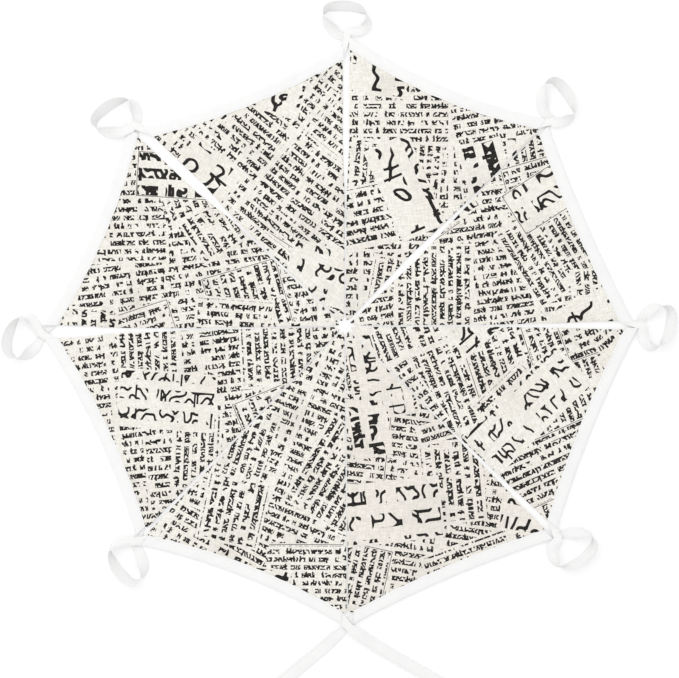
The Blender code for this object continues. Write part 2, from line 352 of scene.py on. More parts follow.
def blockLayer(tree, place, block):  # one tilted block in each square of a grid
    cell, seed = block["cell"], block["seed"]
    shiftBy, leanBy = printSettings["blockShift"], printSettings["blockLean"]
    scaled = vectorNode(tree, "SCALE", place, scale=1 / cell)
    scaled = vectorNode(tree, "ADD", scaled, (seed * 0.37, seed * 0.61, 0))
    square = vectorNode(tree, "FLOOR", scaled)
    inSquare = vectorNode(tree, "SUBTRACT", vectorNode(tree, "SUBTRACT", scaled, square), (0.5, 0.5, 0))
    first, second, third = chanceNode(tree, vectorNode(tree, "ADD", square, (seed, seed, 0)))
    wide, tall, there = chanceNode(tree, vectorNode(tree, "ADD", square, (seed + 0.5, seed + 7.5, 0)))
    lean, pitch, framed = chanceNode(tree, vectorNode(tree, "ADD", square, (seed + 3.5, seed + 1.5, 0)))
    shift = joinNode(tree, rampNode(tree, first, 0, 1, -shiftBy, shiftBy),
                     rampNode(tree, second, 0, 1, -shiftBy, shiftBy))
    quarter = times(tree, mathNode(tree, "FLOOR", times(tree, third, 4.0)), math.pi / 2)
    tilt = mathNode(tree, "ADD", quarter, rampNode(tree, lean, 0, 1, -leanBy, leanBy))
    rotate = tree.nodes.new("ShaderNodeVectorRotate")
    rotate.rotation_type = "Z_AXIS"
    feed(tree, rotate.inputs["Vector"], vectorNode(tree, "SUBTRACT", inSquare, shift))
    feed(tree, rotate.inputs["Angle"], tilt)
    local = vectorNode(tree, "SCALE", rotate.outputs[0], scale=cell)
    x, y, _ = splitNode(tree, local)
    halfWide = rampNode(tree, wide, 0, 1, block["wide"][0] / 2, block["wide"][1] / 2)
    halfTall = rampNode(tree, tall, 0, 1, block["tall"][0] / 2, block["tall"][1] / 2)
    edge = mathNode(tree, "MINIMUM", minus(tree, halfWide, size(tree, x)),
                    minus(tree, halfTall, size(tree, y)))
    inside = times(tree, more(tree, edge, 0.0), less(tree, there, block["share"]))
    far = vectorNode(tree, "ADD", local,
                     vectorNode(tree, "SCALE", square, scale=printSettings["blockSpread"]))
    pitch = rampNode(tree, pitch, 0, 1, *block["pitch"])
    line = between(tree, edge, *printSettings["frameLine"])
    line = times(tree, line, less(tree, framed, block["framed"]))
    return far, inside, edge, pitch, line


def rowMarks(tree, place, pitch, stroke):  # rows of scribbled marks in groups
    x, y, _ = splitNode(tree, place)
    rows = mathNode(tree, "DIVIDE", y, pitch)
    row = mathNode(tree, "FLOOR", rows)
    inRow = minus(tree, rows, row)
    rowChance, _, _ = chanceNode(tree, joinNode(tree, row, 4.5))
    marks = mathNode(tree, "DIVIDE", x, times(tree, pitch, printSettings["markWide"]))
    marks = mathNode(tree, "ADD", marks, times(tree, rowChance, printSettings["rowJump"]))
    mark = mathNode(tree, "FLOOR", marks)
    inMark = minus(tree, marks, mark)
    gap, tall, kind = chanceNode(tree, joinNode(tree, mark, row))
    markStart, markShare = printSettings["markRoom"]
    foot, bandTall = printSettings["rowBand"]
    u = mathNode(tree, "DIVIDE", minus(tree, inMark, markStart), markShare)
    v = mathNode(tree, "DIVIDE", minus(tree, inRow, foot), bandTall)
    inU = between(tree, u, 0.0, 1.0)
    reach = times(tree, more(tree, tall, printSettings["tallFrom"]), printSettings["tallReach"])
    reach = mathNode(tree, "ADD", 1.0, reach)
    below = times(tree, less(tree, tall, printSettings["footBelow"]), printSettings["footReach"])
    tallV = times(tree, more(tree, v, below), less(tree, v, reach))
    stem = less(tree, size(tree, minus(tree, u, printSettings["stemPlace"])), stroke)
    stem = times(tree, stem, tallV)
    # scribbled lines of an even width, with a few stems between them
    curlX, curlY = printSettings["curl"]
    spot = joinNode(tree, times(tree, marks, curlX), times(tree, v, curlY),
                    times(tree, row, printSettings["rowSpread"]))
    level = noiseNode(tree, spot, 1.0, 0.0)
    step = printSettings["slopeStep"]
    slopes = []
    for aside in ((step, 0, 0), (0, step, 0)):
        rise = minus(tree, noiseNode(tree, vectorNode(tree, "ADD", spot, aside), 1.0, 0.0), level)
        slopes.append(times(tree, rise, rise))
    slope = mathNode(tree, "DIVIDE", mathNode(tree, "SQRT", mathNode(tree, "ADD", *slopes)), step)
    slope = mathNode(tree, "ADD", slope, printSettings["slopeFloor"])
    away = mathNode(tree, "DIVIDE", size(tree, minus(tree, level, 0.5)), slope)
    squiggle = less(tree, away, times(tree, stroke, printSettings["squiggle"]))
    squiggle = times(tree, squiggle, between(tree, v, *printSettings["squiggleBand"]))
    stems = times(tree, times(tree, stem, inU), less(tree, kind, printSettings["stemShare"]))
    ink = mathNode(tree, "MAXIMUM", squiggle, stems)
    return times(tree, ink, more(tree, gap, printSettings["blankShare"]))


def cloud(tree, place, scale, low, high, strength, detail):
    return times(tree, rampNode(tree, noiseNode(tree, place, scale, detail), low, high), strength)


def printedCloth():
    material, tree, shader = startMaterial("printedCloth", 0.92)
    uv = tree.nodes.new("ShaderNodeUVMap")
    uv.uv_map = "printUv"
    place = uv.outputs[0]
    turned = tree.nodes.new("ShaderNodeVectorRotate")
    turned.rotation_type = "Z_AXIS"
    feed(tree, turned.inputs["Vector"], place)
    turned.inputs["Angle"].default_value = printSettings["groundTurn"]
    rowPlace = turned.outputs[0]
    columns = vectorNode(tree, "SCALE", rowPlace, scale=1 / printSettings["columnWidth"])
    column, _, _ = splitNode(tree, columns)
    inColumn = minus(tree, column, mathNode(tree, "FLOOR", column))
    shown = between(tree, inColumn, *printSettings["columnShown"])
    pitch, stroke, lines = printSettings["groundPitch"], printSettings["groundStroke"], 0.0
    for block in printSettings["blocks"]:
        local, inside, edge, blockPitch, line = blockLayer(tree, place, block)
        rowPlace = mixVector(tree, inside, rowPlace, local)
        pitch = mixNumber(tree, inside, pitch, blockPitch)
        stroke = mixNumber(tree, inside, stroke, block["stroke"])
        shown = mixNumber(tree, inside, shown, more(tree, edge, block["rim"]))
        lines = mixNumber(tree, inside, lines, line)
    ink = times(tree, rowMarks(tree, rowPlace, pitch, stroke), shown)
    ink = mathNode(tree, "MAXIMUM", ink, lines)
    # cloth: soft warm and grey clouds, slubs both ways that also darken the colour as painted crinkle
    # shade, threads
    greyCloth = printSettings["greyCloth"]
    warm = cloud(tree, place, *printSettings["warmCloud"], 2.0)
    grey = cloud(tree, vectorNode(tree, "ADD", place, (3, 1, 0)), *printSettings["greyCloud"], 3.0)
    fromSpot = vectorNode(tree, "LENGTH", vectorNode(tree, "SUBTRACT", place, printSettings["warmSpot"]))
    spotNear, spotFar, spotStrength = printSettings["spotFade"]
    spot = rampNode(tree, fromSpot, spotNear, spotFar, spotStrength, 0.0)
    warm = mathNode(tree, "MAXIMUM", warm, spot)
    colour = mixColour(tree, warm, printSettings["cloth"], printSettings["warmCloth"])
    colour = mixColour(tree, grey, colour, greyCloth)
    fine, coarse = printSettings["slub"]
    slub = mathNode(tree, "ADD", *(
        noiseNode(tree, vectorNode(tree, "MULTIPLY", place, stretch), 1.0, 3.0, 0.6)
        for stretch in ((fine, coarse, 1), (coarse, fine, 1))))
    # painted shade: the slub noise darkens the cloth towards grey, part slub tone and part painted
    # shading of the crinkled relief
    shadeFrom, shadeTo, shade = printSettings["slubToneAndCrinkleShade"]
    colour = mixColour(tree, rampNode(tree, slub, shadeFrom, shadeTo, 0.0, shade), colour, greyCloth)
    wornFrom, wornTo, worn = printSettings["worn"]
    ink = times(tree, ink, rampNode(tree, slub, wornFrom, wornTo, 1.0, worn))
    colour = mixColour(tree, ink, colour, printSettings["ink"])
    feed(tree, shader.inputs["Base Color"], colour)
    threads = mathNode(tree, "ADD", weaveHeight(tree, place, printSettings["weave"]),
                       times(tree, slub, printSettings["slubBump"]))
    addBump(tree, shader, threads, *printSettings["bump"])
    shader.inputs["Specular IOR Level"].default_value = printSettings["specular"]
    shader.inputs["Sheen Weight"].default_value = printSettings["sheen"]
    return material


tapeSettings = {
    "colour": (0.94, 0.94, 0.935, 1),
    "shade": (0.86, 0.86, 0.862, 1),
    "cloud": (60.0, 0.45, 0.75, 0.35),   # scale, from, to, strength
    "weave": 0.0005,
    "rib": 0.0012,
    "ribBump": 0.4,
    "bump": (0.00015, 0.4),              # depth, strength
    "sheen": 0.15,
}


def whiteTape():
    material, tree, shader = startMaterial("whiteTape", 0.8)
    uv = tree.nodes.new("ShaderNodeUVMap")
    uv.uv_map = "tapeUv"
    place = uv.outputs[0]
    shaded = cloud(tree, place, *tapeSettings["cloud"], 3.0)
    feed(tree, shader.inputs["Base Color"],
         mixColour(tree, shaded, tapeSettings["colour"], tapeSettings["shade"]))
    x, y, _ = splitNode(tree, place)
    slant = times(tree, mathNode(tree, "ADD", x, y), 2 * math.pi / tapeSettings["rib"])
    twill = times(tree, mathNode(tree, "SINE", slant), tapeSettings["ribBump"])
    height = mathNode(tree, "ADD", weaveHeight(tree, place, tapeSettings["weave"]), twill)
    addBump(tree, shader, height, *tapeSettings["bump"])
    shader.inputs["Sheen Weight"].default_value = tapeSettings["sheen"]
    return material


threadSettings = {"dark": (0.84, 0.84, 0.835, 1), "light": (0.92, 0.92, 0.915, 1), "twist": 2600.0}


def sewingThread():
    material, tree, shader = startMaterial("sewingThread", 0.6)
    coords = tree.nodes.new("ShaderNodeTexCoord")
    twist = noiseNode(tree, coords.outputs["Object"], threadSettings["twist"], 1.0)
    twist = rampNode(tree, twist, 0.3, 0.7)
    feed(tree, shader.inputs["Base Color"],
         mixColour(tree, twist, threadSettings["dark"], threadSettings["light"]))
    return material


clothFinish = printedCloth()
tapeFinish = whiteTape()
threadFinish = sewingThread()
print("materials made")

# cloth flags: two layers sewn at the sides and turned, top edge inside the tape
flagSettings = {
    "cuts": 63,               # straight pieces along each side, less one
    "gaps": {                 # at each corner: share of the way to the middle, mm between the flags
        1: ((0, 7.0), (0.12, 6.2), (0.26, 4.2), (0.5, 2.0), (1, 1.7)),
        2: ((0, 7.4), (0.12, 6.8), (0.25, 4.6), (0.5, 2.2), (1, 1.7)),
        3: ((0, 1.8), (0.3, 1.8), (0.5, 4.2), (0.65, 6.6), (0.85, 4.6), (1, 2.2)),
        4: ((0, 6.6), (0.35, 5.8), (0.55, 2.2), (1, 1.7)),
        5: ((0, 9.4), (0.3, 9.0), (0.45, 3.0), (1, 1.7)),
        6: ((0, 11.5), (0.1, 10.4), (0.18, 7.2), (0.27, 4.8), (0.5, 2.2), (1, 1.7)),
        7: ((0, 3.6), (0.3, 3.0), (0.5, 2.0), (1, 1.7)),
        8: ((0, 1.8), (1, 1.7)),
    },
    "past": (0.0022,) * 7 + (0.0050,),   # past the tape's ends, at each corner
    "flare": (0.7,) * 7 + (1.5,),        # how fast the cloth may widen below the tape, at each corner
    "tapeInset": 0.0003,      # cloth's sides inside the ends of the tape
    "top": 0.0009,            # cloth's top edge inside the fold of the tape
    "sagFade": 1.6,
    "middleThick": 0.0011,
    "seamThick": 0.0015,
    "seamWide": 0.009,
    "seamSlant": 0.93,        # sideways distance to distance square to the seam
    "headThick": 0.0014,
    "headMiddle": 0.00145,    # height of the cloth's middle inside the tape
    "headEnd": (0.0007, 0.0012),   # where the tape lets go above the bend line, and how softly
    "settle": 0.03,           # depth in which the cloth comes down to the table
    "edgeSteps": (0.0, 0.0007, 0.0020, 0.0046, 0.0080),
    "edgeRows": 14.0,         # rows from a seam in which the spacing evens out
    "edgeRound": (0.45, 0.0007),
    "rollOut": 0.00045,
    "groove": (0.00065, 0.28),     # depth, and half width as a share of the edge
    "rollHeight": 0.55,
    "lift": 0.00012,
    "wave": 0.00045,
    "wavePhase": 1.7,
    "waveDip": 0.3,
    "pucker": 0.00022,
    "puckerReach": (0.006, 0.014),
    "bendBand": 0.009,
    "printTurn": (0.4, -0.9, 1.7, 2.6, -2.2, 0.9, -1.4, 3.0),
    "printShift": (0.417, 0.61),   # from flag to flag, and its share the other way
    "backShift": 0.193,
    "floorClear": 0.00004,
}


def cornerPlace(number):  # outer end of the slot between a flag and the next one
    if number in (0, 8):
        return (tapeEnd(8, 1)[0] + tapeEnd(1, -1)[0]) / 2
    return Vector(joints["corner_%d" % number]["pos_m"])


def tapeEnd(number, side):
    placed = flagFrame(number)
    return [placed @ Vector((across(number, side, y), y, 0)) for y in (0, layout["tapeWidth"])]


def flagSide(number, side):  # how far out the cloth reaches on one side, as a function of the depth
    back = flagFrame(number).inverted()
    corner = number if side > 0 else (number - 1 or 8)
    outer = back @ cornerPlace(corner)
    centre = back @ Vector((0, 0, 0))
    lean = math.cos(math.atan2(abs(outer.x), centre.y - outer.y))
    shares, widths = zip(*flagSettings["gaps"][corner])
    past, flare = flagSettings["past"][corner - 1], flagSettings["flare"][corner - 1]

    def reach(depth):
        share = min(max((depth - outer.y) / (centre.y - outer.y), 0), 1)
        middle = outer.x + (centre.x - outer.x) * (depth - outer.y) / (centre.y - outer.y)
        half = float(np.interp(share, shares, widths)) * 0.0005 / lean
        axis = centre.x * depth / centre.y
        wide = max(side * (middle - axis) - half, layout["pointWidth"] / 2)
        below = depth - layout["tapeWidth"]
        bound = side * (across(number, side, depth) - axis)   # inside the tape no wider than the tape
        bound += past + flare * below if below > 0 else -flagSettings["tapeInset"]
        return axis + side * min(wide, bound)

    return reach


def edgeDistance(distance, step):  # rows of points draw closer together towards a seam
    steps, meet = list(flagSettings["edgeSteps"]), flagSettings["edgeRows"]
    if distance >= meet * step:
        return distance
    rows = list(range(len(steps))) + [meet]
    return float(np.interp(distance / step, rows, steps + [meet * step]))


def flagHeights(x, y, seam, number):  # middle height and half thickness of the cloth
    wide, thin = flagSettings["seamWide"], flagSettings["middleThick"]
    bend = bendLine(number)
    above, soft = flagSettings["headEnd"]
    lower = 1 - math.exp(-max(y - bend, 0) / flagSettings["settle"])
    inTape = 1 / (1 + math.exp((y - bend + above) / soft))
    near = math.exp(-((seam - wide * 0.5) / (wide * 0.45)) ** 2)
    thick = thin + (flagSettings["seamThick"] - thin) * near
    thick = thick * (1 - inTape) + flagSettings["headThick"] * inTape
    phase = number * flagSettings["wavePhase"]
    wave = math.sin(x * 61 + phase) * math.sin(y * 43 + phase * 2.1)
    wave += 0.6 * math.sin(x * 23 - y * 71 + phase * 3.3)
    wave += 0.5 * math.sin((x + y) * 97 + phase * 0.7)
    tight, loose = flagSettings["puckerReach"]
    pucker = math.sin(y * 640 + phase) * math.exp(-seam / tight)
    pucker += 0.7 * math.sin(y * 390 - phase) * math.exp(-seam / loose)
    rise = (flagSettings["wave"] * wave * lower + flagSettings["pucker"] * pucker) * (1 - inTape)
    middle = flagSettings["headMiddle"] * (1 - lower) + (flagSettings["lift"] + thick / 2) * lower
    middle += max(rise, -flagSettings["waveDip"] * flagSettings["wave"])
    return max(middle, thick / 2 + layout["tableClear"]), thick / 2


def makeFlag(number):
    cuts = flagSettings["cuts"]
    drop, top = flagTip(number)[1], flagSettings["top"]
    sideStart, sideEnd = flagSide(number, -1), flagSide(number, 1)
    deselectAll()
    bpy.ops.mesh.primitive_circle_add(vertices=3, radius=1, fill_type="NGON")
    flag = startPiece("flag_cloth_%d" % number)
    setPoints(flag, [(-1, 0, 0), (1, 0, 0), (0, 1, 0)])
    bpy.ops.object.mode_set(mode="EDIT")
    bpy.ops.mesh.select_all(action="SELECT")
    bpy.ops.mesh.subdivide(number_cuts=cuts)
    bpy.ops.mesh.normals_make_consistent(inside=False)
    bpy.ops.mesh.duplicate()
    bpy.ops.transform.translate(value=(0, 0, -1))
    bpy.ops.mesh.flip_normals()
    bpy.ops.mesh.select_all(action="DESELECT")
    bpy.ops.mesh.select_mode(type="EDGE")
    bpy.ops.mesh.select_non_manifold(extend=False)
    bpy.ops.mesh.bridge_edge_loops(number_cuts=3)
    bpy.ops.mesh.select_mode(type="VERT")
    bpy.ops.mesh.select_all(action="SELECT")
    bpy.ops.mesh.normals_make_consistent(inside=False)
    bpy.ops.object.mode_set(mode="OBJECT")
    step = layout["flagWidth"] / (cuts + 1)
    shaped = []
    pairs = []
    turn = flagSettings["printTurn"][number - 1]
    cosTurn, sinTurn = math.cos(turn), math.sin(turn)
    shiftU = flagSettings["printShift"][0] * number
    shiftV = shiftU * flagSettings["printShift"][1]
    grooveDeep, grooveWide = flagSettings["groove"]
    roundDeep, roundWide = flagSettings["edgeRound"]
    for x, share, level in pointArray(flag):
        share = min(max(share, 0), 1)
        along = 0.5 if share > 0.9999 else x / (1 - share) / 2 + 0.5
        y = top + (drop - top) * share
        sag = bow(number, 2 * along - 1) * (1 - share) ** flagSettings["sagFade"]
        left, right = sideStart(y), sideEnd(y)
        place = left + along * (right - left)
        if along < 0.5:
            place = left + min(edgeDistance(place - left, step), (right - left) / 2)
        else:
            place = right - min(edgeDistance(right - place, step), (right - left) / 2)
        seam = min(place - left, right - place) * flagSettings["seamSlant"]
        depth = y + sag
        middle, half = flagHeights(place, depth, seam, number)
        front = level > -0.5
        if -0.999 < level < -0.001:   # rolled edge with the seam groove in its middle
            through = (level + 0.5) * 2
            roll = flagSettings["rollOut"] * (1 - through * through)
            roll -= grooveDeep * math.exp(-(through / grooveWide) ** 2)
            place += roll if along > 0.5 else -roll
            height = middle + half * through * flagSettings["rollHeight"]
        else:
            rounded = half * (1 - roundDeep * math.exp(-seam / roundWide))
            height = middle + (rounded if front else -rounded)
        shaped.append((place, depth, max(height, flagSettings["floorClear"])))
        printX = place if front else -place
        back = 0.0 if front else flagSettings["backShift"]
        pairs.append((printX * cosTurn - depth * sinTurn + shiftU,
                      printX * sinTurn + depth * cosTurn + shiftV + back))
    placed = flagFrame(number)
    setPoints(flag, [placed @ Vector(point) for point in shaped])
    setUv(flag, "printUv", pairs)
    flag.data.materials.clear()
    flag.data.materials.append(clothFinish)
    smoothShade(flag, 60)
    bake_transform(flag)
    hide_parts("flag_front_%d" % number, "flag_back_%d" % number, "flag_heading_%d" % number)
    width = sideEnd(top) - sideStart(top)


for number in flagNumbers:
    makeFlag(number)
print("flags made")

# tape folded over the top edges
bindingSettings = {
    "steps": 72,
    "thick": 0.0004,
    "profile": (   # from the tape's outer edge in, and height of the leaf's middle, mm
        (10.0, 2.42), (9.3, 2.50), (8.4, 2.46), (7.4, 2.60), (6.0, 2.70), (4.4, 2.72), (2.8, 2.72),
        (1.5, 2.66), (0.65, 2.34), (0.25, 1.85), (0.2, 1.45), (0.25, 1.05), (0.65, 0.56), (1.5, 0.24),
        (2.8, 0.2), (4.4, 0.2), (6.0, 0.2), (7.4, 0.23), (8.4, 0.32), (9.3, 0.30), (10.0, 0.30),
    ),
    "upperPoints": 11,        # of the profile, down to the middle of the fold
    "upperFrom": 0.0015,      # height from which the leaf counts as the upper one
    "endReach": 0.019,        # how far the ends are drawn out, as a share of half the width
    "wobble": (0.00016, 0.0001),
    "lift": 0.00012,
    "stitchLine": 0.0084,
    "stitchPitch": 0.0030,
    "stitchEnd": 0.985,       # share of half the width at which the stitches end
    "stitchHeights": (0.00272, 0.00010),
}


def bindingPoint(placed, number, share, y, z):
    x = across(number, share * (1.0 + bindingSettings["endReach"] * abs(share) ** 3), y)
    slow, quick = bindingSettings["wobble"]
    wobble = slow * math.sin(share * 21 + number * 1.3) + quick * math.sin(share * 47 + number)
    lift = bindingSettings["lift"] * math.sin(share * 15 + number * 2.1)
    lift = lift if z > bindingSettings["upperFrom"] else 0.0
    return placed @ Vector((x, bow(number, share) + y + wobble * y / layout["tapeWidth"], z + lift))


def makeBinding(number):
    placed = flagFrame(number)
    steps, profile = bindingSettings["steps"], bindingSettings["profile"]
    deselectAll()
    bpy.ops.mesh.primitive_grid_add(x_subdivisions=steps, y_subdivisions=len(profile) - 1, size=2)
    tape = startPiece("tape_fold_%d" % number)
    shaped = []
    pairs = []
    for x, y, _ in pointArray(tape):
        at = round((1 - y) / 2 * (len(profile) - 1))
        deep, height = profile[at]
        shaped.append(bindingPoint(placed, number, x, deep * 0.001, height * 0.001))
        upper = at < bindingSettings["upperPoints"]
        pairs.append((x * layout["flagWidth"] / 2, (deep if upper else -deep) * 0.001))
    setPoints(tape, shaped)
    setUv(tape, "tapeUv", pairs)
    solid = tape.modifiers.new("thickness", "SOLIDIFY")
    solid.thickness = bindingSettings["thick"]
    solid.offset = 0
    applyModifiers(tape)
    bpy.ops.object.mode_set(mode="EDIT")
    bpy.ops.mesh.select_all(action="SELECT")
    bpy.ops.mesh.normals_make_consistent(inside=False)
    bpy.ops.object.mode_set(mode="OBJECT")
    tape.data.materials.clear()
    tape.data.materials.append(tapeFinish)
    smoothShade(tape, 50)
    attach(tape, "tape_%d" % number)
    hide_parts("tape_binding_%d" % number)


stitchSettings = {"length": 0.0024, "thick": 0.00046, "sides": 8, "rings": 5}


def stitchShape():  # one stitch, long in x, modelled once
    thick = stitchSettings["thick"]
    deselectAll()
    bpy.ops.mesh.primitive_uv_sphere_add(segments=stitchSettings["sides"],
                                         ring_count=stitchSettings["rings"], radius=0.5)
    model = bpy.context.object
    bpy.ops.object.mode_set(mode="EDIT")
    bpy.ops.mesh.select_all(action="SELECT")
    bpy.ops.transform.resize(value=(thick, thick, stitchSettings["length"]))
    bpy.ops.transform.rotate(value=math.radians(90), orient_axis="Y", center_override=(0, 0, 0))
    bpy.ops.object.mode_set(mode="OBJECT")
    points = pointArray(model)
    faces = [tuple(face.vertices) for face in model.data.polygons]
    bpy.data.objects.remove(model)
    return points, faces


stitchPoints, stitchFaces = stitchShape()


def stitchRow(name, spots):  # spots: place, direction along, direction out of the cloth
    points = []
    faces = []
    for place, along, out in spots:
        side = out.cross(along)
        turn = np.array((along, side, out)).T
        start = len(points)
        points.extend(stitchPoints @ turn.T + np.array(place))
        faces.extend(tuple(start + corner for corner in face) for face in stitchFaces)
    row = meshPiece(name, points, faces)
    row.data.materials.append(threadFinish)
    row.data.polygons.foreach_set("use_smooth", [True] * len(faces))
    return row


def bindingStitches(number):
    placed = flagFrame(number)
    deep = bindingSettings["stitchLine"]
    count = int(layout["flagWidth"] / bindingSettings["stitchPitch"])
    last = bindingSettings["stitchEnd"]
    spots = []
    for height, out in zip(bindingSettings["stitchHeights"], (up, -up)):
        for step in range(count):
            share = -last + 2 * last * (step + 0.5) / count
            before = bindingPoint(placed, number, share - 0.004, deep, height)
            after = bindingPoint(placed, number, share + 0.004, deep, height)
            along = (after - before).normalized()
            spots.append(((before + after) / 2, along, out))
    row = stitchRow("tape_stitches_%d" % number, spots)
    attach(row, "tape_%d" % number)


for number in flagNumbers:
    makeBinding(number)
    bindingStitches(number)
print("bindings made")

# free tape: loops between the flags and ties at the ends
loopSettings = {
    "places": (   # mm outwards and sideways from the point between two flags
        ((0.7, -0.6), (3.7, 2.0), (8, 8.5), (14, 15), (22, 19.5), (28.5, 15), (30.5, 5),
         (28, -7), (22, -15.5), (13, -14.5), (6.5, -9.5), (4.5, -1), (0.7, 0.6)),
        ((0.7, -0.6), (3.7, 2.0), (7, 7.5), (13, 12.5), (20.5, 15.5), (27.5, 12.5), (28.5, 3),
         (25, -9), (19, -16.5), (11, -16.5), (6, -10), (5.5, -0.5), (0.7, 0.6)),
        ((0.7, -0.6), (5, 1.5), (5.5, 9.5), (11, 17.5), (20, 23.5), (27.5, 20.5), (29, 11),
         (26.5, 0), (21, -10), (13, -9.5), (6, -5.5), (3.5, -1.8), (0.7, 0.6)),
        ((0.7, -0.6), (3.7, 2.0), (7, 8), (12, 13.5), (19.5, 18.5), (26.5, 15.5), (28.5, 4),
         (27, -8), (21.5, -16), (13, -16), (8.5, -10), (8, -2), (0.7, 0.6)),
        ((0.7, -0.6), (3, 4), (7, 12.5), (14, 19), (20.5, 22.5), (27.5, 19.5), (28.5, 8.5),
         (25.5, -3), (19.5, -11.5), (12, -11), (5.5, -7), (2.5, -2.5), (0.7, 0.6)),
        ((0.7, -0.6), (3.5, 5), (8, 12), (14, 17), (21, 20.5), (28.5, 17), (30.5, 8),
         (27, -3), (20, -12), (12, -11.5), (7, -5), (3.5, 0), (0, 3)),
        ((0.7, -0.6), (5, 1.5), (7.5, 8.5), (12, 17.5), (20, 23), (27.5, 20.5), (29, 10),
         (27, -1), (21.5, -10.5), (13, -10), (6.5, -6), (3.5, -1.8), (0.7, 0.6)),
    ),
    "backOver": (   # clear height mm, roll, width mm; the loop comes back over its own start
        (0.15, 0, 6.5), (0.1, 0, 6.8), (0.3, 5, 8.5), (0.4, 38, 10), (0.8, 85, 10), (0.8, 120, 10),
        (0.7, 140, 10), (0.6, 130, 10), (1.0, 90, 10), (1.5, 35, 9.5), (2.4, 8, 8),
        (2.3, 0, 6.8), (1.9, 0, 6.5),
    ),
    "backUnder": (   # the same for a loop whose start lies over its end
        (2.6, 0, 7), (3.4, 0, 8), (3.4, 5, 9), (3.1, 38, 10), (0.8, 85, 10), (0.8, 120, 10),
        (0.7, 140, 10), (0.6, 130, 10), (0.8, 90, 10), (0.6, 35, 9.5), (0.2, 8, 8),
        (0.1, 0, 6.8), (0.15, 0, 6.5),
    ),
    "backUnderLoop": 5,
    "bendBand": 0.006,
}
tieSettings = {   # outwards, sideways, clear height mm, roll, width mm
    "end": (
        (0.7, -0.6, 1.9, 0, 6.5), (3.7, 2.2, 2.3, 0, 7), (9.0, 9.0, 2.0, 0, 9),
        (22.0, 29.0, 0.6, 0, 10), (46.0, 70.0, 0.3, 0, 10), (53.0, 81.6, 0.3, 15, 10),
        (59.0, 91.4, 0.3, 52, 10), (65.0, 101.2, 0.5, 90, 10),
    ),
    "start": (
        (0.7, 0.6, 0.15, 0, 6.5), (3.7, -2.0, 0.1, 0, 6.8), (10.0, -9.2, 0.2, 0, 9),
        (22.0, -23.0, 0.2, 0, 10), (46.0, -53.0, 0.2, 0, 10), (53.0, -61.2, 0.3, 15, 10),
        (59.5, -68.8, 0.3, 52, 10), (66.0, -76.4, 0.5, 90, 10),
    ),
    "rollRadius": 0.024,
    "rollPitch": 0.005,
    "rollTurns": 2.25,
    "rollLead": 0.010,
    "rollPoints": 48,
}
ribbonSettings = {
    "steps": 8,
    "edgeEase": 10,
    "thick": 0.00085,
    "section": (   # across the tape and through it, as shares of half its width and thickness
        (-1.0, 0.0), (-0.985, 0.62), (-0.93, 0.95), (-0.7, 1.0), (-0.3, 1.0), (0.2, 1.0), (0.6, 0.96),
        (0.68, 0.62), (0.76, 0.9), (0.92, 0.95), (0.985, 0.8), (1.0, 0.3), (0.95, 0.0), (1.0, -0.3),
        (0.985, -0.8), (0.92, -0.95), (0.76, -0.9), (0.68, -0.62), (0.6, -0.96), (0.2, -1.0),
        (-0.3, -1.0), (-0.7, -1.0), (-0.93, -0.95), (-0.985, -0.62),
    ),
    "routeWidth": 10,         # mm, full width that the routes' widths are shares of
    "stitchShare": 0.68,
    "stitchSink": 0.75,       # middle of a stitch, as a share of half the thickness
    "firstStitch": 0.0015,
}


def smoothLine(points, steps):
    ends = [points[0]] + list(points) + [points[-1]]
    line = []
    for at in range(1, len(ends) - 2):
        before, here, there, after = (np.array(point, float) for point in ends[at - 1:at + 3])
        for step in range(steps):
            t = step / steps
            line.append(0.5 * (2 * here + (there - before) * t
                               + (2 * before - 5 * here + 4 * there - after) * t * t
                               + (3 * here - before - 3 * there + after) * t ** 3))
    line.append(np.array(points[-1], float))
    return line


def raised(line):  # clear height under the tape becomes the height of its middle
    done = []
    for x, y, clear, roll, width in line:
        half = width / 2 * abs(math.sin(roll)) + layout["freeThick"] / 2 * abs(math.cos(roll))
        done.append((Vector((x, y, max(clear, layout["tableClear"]) + half)), roll, width))
    return done


def routePoints(origin, outward, route):
    aside = up.cross(outward)
    full = ribbonSettings["routeWidth"]
    return [(*(origin + (outward * u + aside * v + up * z) * 0.001), math.radians(roll),
             layout["tapeWidth"] * width / full) for u, v, z, roll, width in route]


def leaveTape(number, side, drop):  # place where a free tape starts, and the slanted edge it starts from
    outer, inner = tapeEnd(number, side)
    away = flagFrame(number).to_3x3() @ Vector((side, 0, 0))
    place = (outer + inner) / 2 + away * layout["endGap"]
    place.z = layout["boundThick"] / 2 + drop - layout["freeThick"] / 2
    return (*place, 0.0, layout["tapeWidth"]), outer - inner


def ribbonFrames(line, firstEdge=None, lastEdge=None):  # place, half width vector, half thickness vector
    frames = []
    ease = ribbonSettings["edgeEase"]
    for at, (place, roll, width) in enumerate(line):
        ahead = line[min(at + 1, len(line) - 1)][0] - line[max(at - 1, 0)][0]
        right = ahead.cross(up).normalized()
        top = right.cross(ahead).normalized()
        across = (right * math.cos(roll) + top * math.sin(roll)) * width
        for edge, away in ((firstEdge, at), (lastEdge, len(line) - 1 - at)):
            if edge is not None and away < ease:
                slant = edge if edge.dot(across) > 0 else -edge
                across = slant.lerp(across, away / ease)
        out = across.cross(ahead).normalized()
        frames.append((place, across / 2, out * ribbonSettings["thick"] / 2))
    return frames


